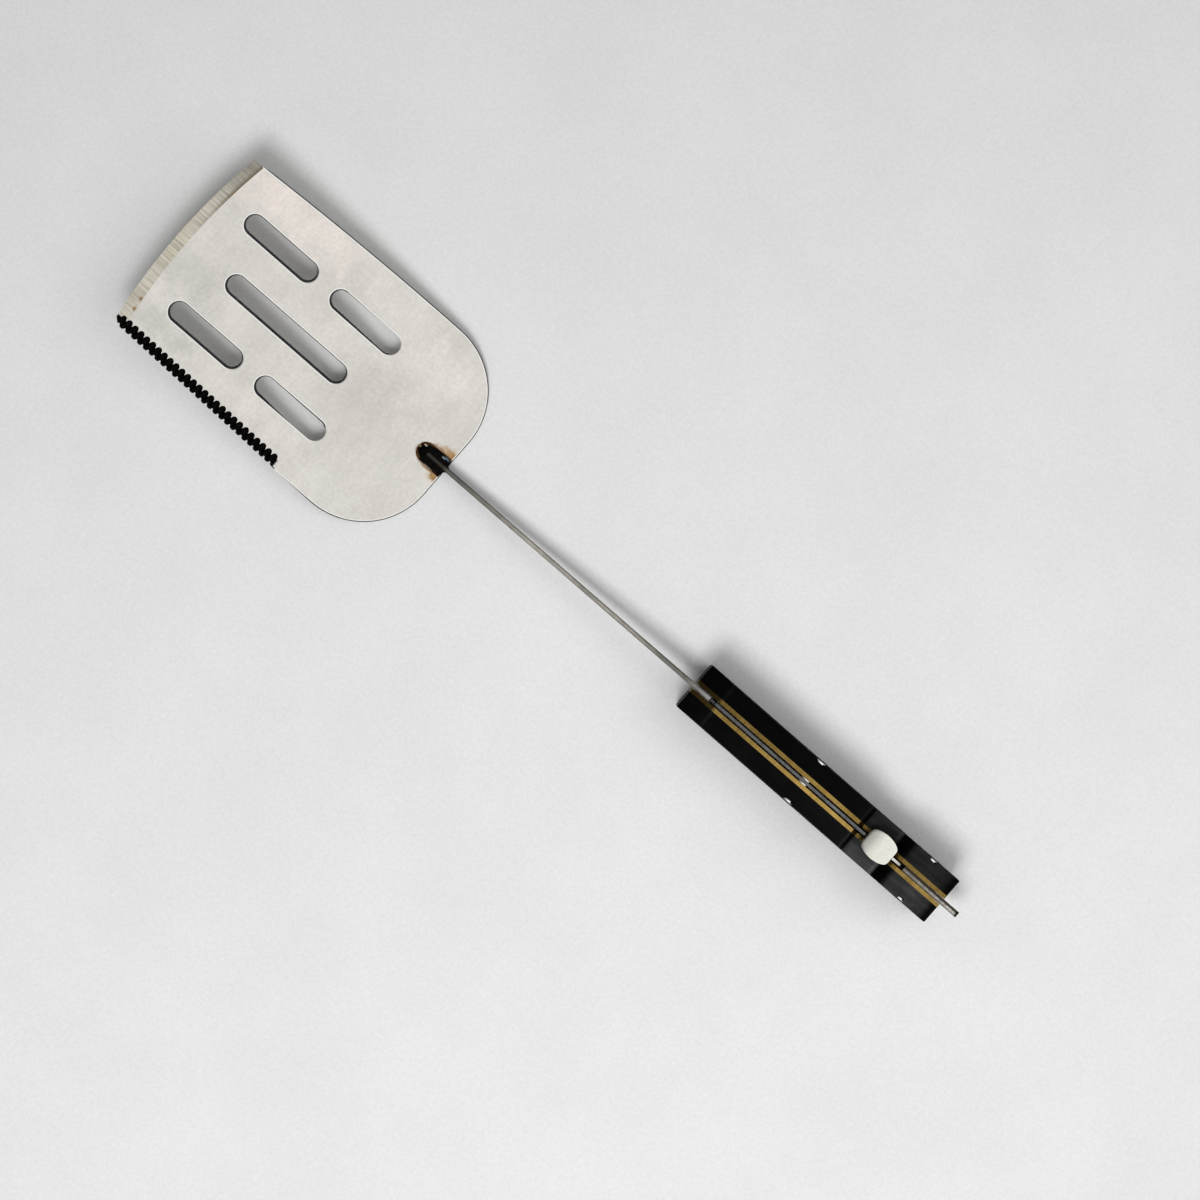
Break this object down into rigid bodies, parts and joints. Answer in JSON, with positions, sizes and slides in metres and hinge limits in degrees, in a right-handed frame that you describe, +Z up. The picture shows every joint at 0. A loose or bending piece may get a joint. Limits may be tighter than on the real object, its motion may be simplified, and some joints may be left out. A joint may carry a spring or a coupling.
{
  "type": "folding barbecue spatula",
  "caption": "Folding barbecue spatula: slotted, serrated steel blade welded to a flat shank that folds into a lock-back handle with black scales, brass liners and a thumb pad.",
  "frame": {"origin": "middle of the whole tool in plan, on the surface it lies on", "axes": "+X from the blade's front edge to the butt, +Y to the plain side, away from the serrated edge, +Z up out of the spine"},
  "size_m": [0.4104, 0.0912, 0.0298],
  "materials": {
    "blade_steel": "stainless plate brushed across, ground bevel in front, black serrated edge",
    "burnt_weld": "glossy burnt black weld",
    "raw_steel": "raw grey-brown strip steel",
    "lock_steel": "dark blue-grey hardened steel, satin",
    "polished_steel": "polished",
    "spring_steel": "satin spring steel",
    "liner_brass": "sawn and sanded edge",
    "black_scale": "satin black"
  },
  "bodies": {
    "handle": {"hanger_plate": "raw_steel", "lock_spring": "spring_steel", "hanger_dowel": "polished_steel", "liner_left": "liner_brass", "scale_left": "black_scale", "pivot_washer_left": "polished_steel", "lock_washer_left": "polished_steel", "pivot_screw_left": "polished_steel", "lock_screw_left": "polished_steel", "rear_screw_left": "polished_steel", "liner_right": "liner_brass", "scale_right": "black_scale", "pivot_washer_right": "polished_steel", "lock_washer_right": "polished_steel", "pivot_screw_right": "polished_steel", "lock_screw_right": "polished_steel", "rear_screw_right": "polished_steel", "pivot_sleeve": "polished_steel", "lock_sleeve": "polished_steel", "rear_sleeve": "polished_steel"},
    "blade_arm": {"blade": "blade_steel", "weld_bead": "burnt_weld", "shank": "raw_steel"},
    "lock_rocker": {"lock_bar": "lock_steel", "thumb_pad": "polished_steel"}
  },
  "joints": [
    {"name": "fold", "type": "hinge", "parent": "handle", "child": "blade_arm", "pos_m": [0.07223, 0, 0.015], "axis": [0, -1, 0], "range_deg": [0, 171.5]},
    {"name": "lock", "type": "hinge", "parent": "handle", "child": "lock_rocker", "pos_m": [0.12413, 0, 0.0252], "axis": [0, 1, 0], "range_deg": [0, 3], "stiffness_Nm_per_rad": 6, "springref_deg": -4.58, "deforming": ["lock_spring"]}
  ]
}
